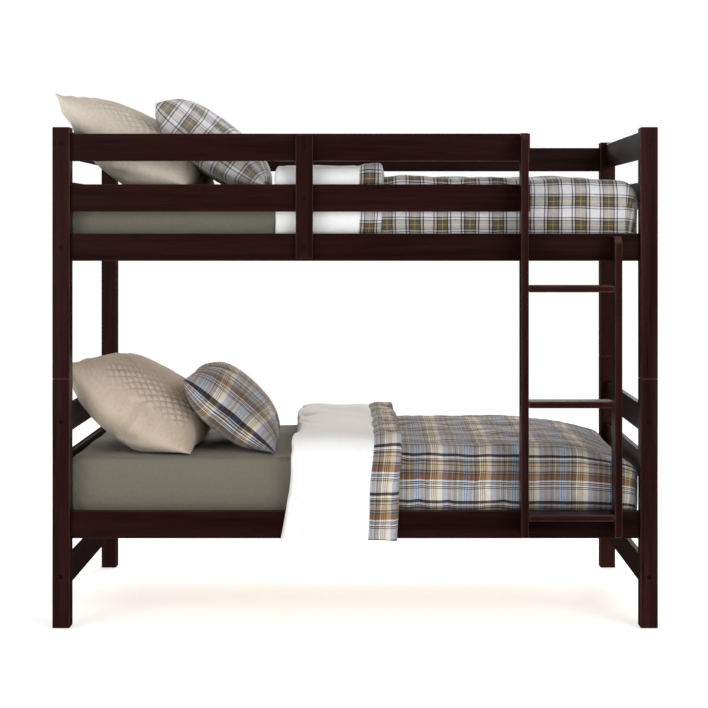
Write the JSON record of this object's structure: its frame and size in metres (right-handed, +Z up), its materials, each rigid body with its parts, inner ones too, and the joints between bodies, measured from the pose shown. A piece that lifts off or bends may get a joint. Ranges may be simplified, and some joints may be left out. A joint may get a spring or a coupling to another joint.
{
  "type": "bunk bed with ladder",
  "caption": "Wooden bunk bed with guard boards and an upright ladder, made up with mattresses, check duvets and pillows; the upper bed lifts off on dowel pins.",
  "frame": {"origin": "on the floor under the middle of the whole bed, ladder included", "axes": "+X along the beds from the pillow end to the foot end where the ladder is, +Y from the ladder side to the wall side, +Z up"},
  "size_m": [2.02, 1.132, 1.811],
  "materials": {
    "espresso_wood": "espresso-stained hardwood under satin lacquer, faint straight grain",
    "slats": "planed unfinished pine with woven tapes under it",
    "bolts": "dark bronze plated steel with hexagonal sockets",
    "pins": "zinc plated steel",
    "sheet": "olive grey fitted cotton sheet, smooth",
    "beige_cotton": "beige matelasse cotton with a quilted grid in its middle",
    "blue_check_cotton": "brushed cotton check in blue grey, brown, rust, cream and navy",
    "grey_check_cotton": "brushed cotton check in white, charcoal and olive"
  },
  "bodies": {
    "lower_bed": {"dowel_pin_front_left": "pins", "dowel_pin_front_right": "pins", "dowel_pin_rear_left": "pins", "dowel_pin_rear_right": "pins", "lower_bolt_stretcher_left": "bolts", "lower_bolt_stretcher_right": "bolts", "lower_bolt_top_rail_left": "bolts", "lower_bolt_top_rail_right": "bolts", "lower_middle_rail_left": "espresso_wood", "lower_middle_rail_right": "espresso_wood", "lower_post_front_left": "espresso_wood", "lower_post_front_right": "espresso_wood", "lower_post_rear_left": "espresso_wood", "lower_post_rear_right": "espresso_wood", "lower_side_rail_front": "espresso_wood", "lower_side_rail_rear": "espresso_wood", "lower_slat_ledge_front": "espresso_wood", "lower_slat_ledge_rear": "espresso_wood", "lower_slat_roll": "slats", "lower_stretcher_left": "espresso_wood", "lower_stretcher_right": "espresso_wood", "lower_top_rail_left": "espresso_wood", "lower_top_rail_right": "espresso_wood"},
    "upper_bed": {"guard_board_strip": "espresso_wood", "high_guard_board_front": "espresso_wood", "high_guard_board_rear": "espresso_wood", "ladder_rung_1": "espresso_wood", "ladder_rung_2": "espresso_wood", "ladder_rung_3": "espresso_wood", "ladder_stile_long": "espresso_wood", "ladder_stile_short": "espresso_wood", "low_guard_board_front": "espresso_wood", "low_guard_board_rear": "espresso_wood", "upper_bolt_bottom_rail_left": "bolts", "upper_bolt_bottom_rail_right": "bolts", "upper_bolt_top_rail_left": "bolts", "upper_bolt_top_rail_right": "bolts", "upper_bottom_rail_left": "espresso_wood", "upper_bottom_rail_right": "espresso_wood", "upper_middle_rail_left": "espresso_wood", "upper_middle_rail_right": "espresso_wood", "upper_post_front_left": "espresso_wood", "upper_post_front_right": "espresso_wood", "upper_post_rear_left": "espresso_wood", "upper_post_rear_right": "espresso_wood", "upper_side_rail_front": "espresso_wood", "upper_side_rail_rear": "espresso_wood", "upper_slat_ledge_front": "espresso_wood", "upper_slat_ledge_rear": "espresso_wood", "upper_slat_roll": "slats", "upper_top_rail_left": "espresso_wood", "upper_top_rail_right": "espresso_wood"},
    "lower_mattress": {"lower_mattress": "sheet"},
    "lower_back_pillow": {"lower_back_pillow": "beige_cotton"},
    "lower_front_pillow": {"lower_front_pillow": "blue_check_cotton"},
    "lower_duvet": {"lower_duvet": "blue_check_cotton"},
    "upper_mattress": {"upper_mattress": "sheet"},
    "upper_back_pillow": {"upper_back_pillow": "beige_cotton"},
    "upper_front_pillow": {"upper_front_pillow": "grey_check_cotton"},
    "upper_duvet": {"upper_duvet": "grey_check_cotton"}
  },
  "joints": [
    {"name": "upper_bed_lift", "type": "slide", "parent": "lower_bed", "child": "upper_bed", "axis": [0, 0, 1], "range_m": [0, 0.12]},
    {"name": "lower_mattress_lift", "type": "slide", "parent": "lower_bed", "child": "lower_mattress", "axis": [0, 0, 1], "range_m": [0, 0.1]},
    {"name": "lower_duvet_lift", "type": "slide", "parent": "lower_mattress", "child": "lower_duvet", "axis": [0, 0, 1], "range_m": [0, 0.1]},
    {"name": "lower_back_pillow_lift", "type": "slide", "parent": "lower_mattress", "child": "lower_back_pillow", "axis": [0, 0, 1], "range_m": [0, 0.1]},
    {"name": "lower_front_pillow_lift", "type": "slide", "parent": "lower_back_pillow", "child": "lower_front_pillow", "axis": [0, 0, 1], "range_m": [0, 0.1]},
    {"name": "upper_mattress_lift", "type": "slide", "parent": "upper_bed", "child": "upper_mattress", "axis": [0, 0, 1], "range_m": [0, 0.4]},
    {"name": "upper_duvet_lift", "type": "slide", "parent": "upper_mattress", "child": "upper_duvet", "axis": [0, 0, 1], "range_m": [0, 0.1]},
    {"name": "upper_back_pillow_lift", "type": "slide", "parent": "upper_mattress", "child": "upper_back_pillow", "axis": [0, 0, 1], "range_m": [0, 0.1]},
    {"name": "upper_front_pillow_lift", "type": "slide", "parent": "upper_back_pillow", "child": "upper_front_pillow", "axis": [0, 0, 1], "range_m": [0, 0.1]}
  ]
}
